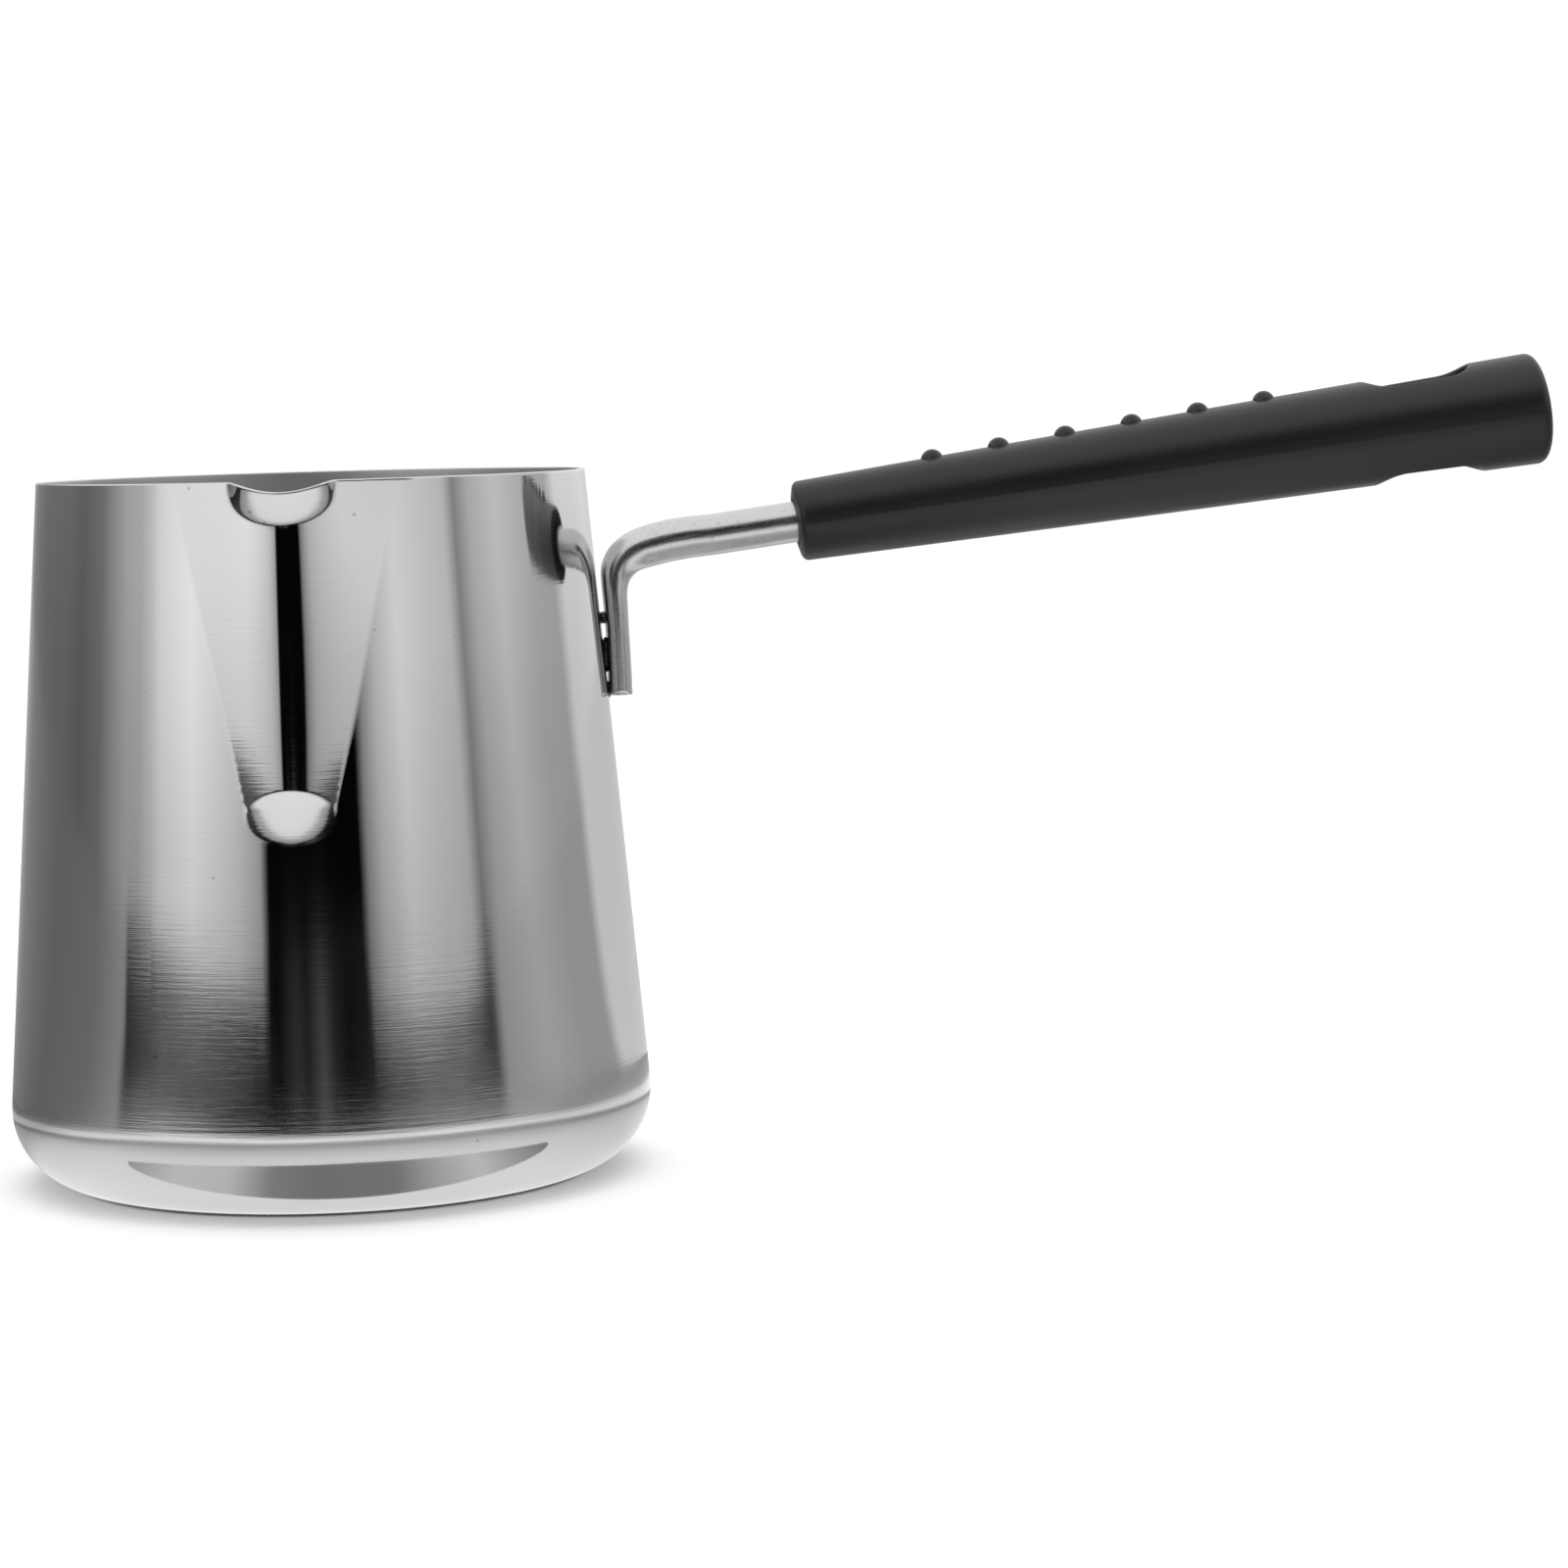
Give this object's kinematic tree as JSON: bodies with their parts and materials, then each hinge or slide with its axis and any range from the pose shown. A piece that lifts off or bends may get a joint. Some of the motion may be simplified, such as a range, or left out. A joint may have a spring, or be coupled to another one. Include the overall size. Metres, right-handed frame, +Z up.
{
  "type": "candle melting pot",
  "caption": "Stainless steel pouring pot for melting wax, with a pinched spout and a welded tube handle in a moulded black grip.",
  "frame": {"origin": "centre of the pot's flat base, on the surface it stands on", "axes": "+Z up along the pot's axis; +X towards the handle's far end; the spout points near -Y"},
  "size_m": [0.2839, 0.115, 0.1416],
  "materials": {
    "pot_steel": "polished stainless with a faint brushing round the wall",
    "tube_steel": "drawn stainless tube, satin",
    "weld_metal": "dull heat-darkened weld",
    "grip_plastic": "fine spark-eroded texture, black"
  },
  "bodies": {
    "root": {"pot_body": "pot_steel", "handle_tube": "tube_steel", "weld_upper": "weld_metal", "weld_middle": "weld_metal", "weld_lower": "weld_metal", "grip": "grip_plastic"}
  },
  "joints": []
}
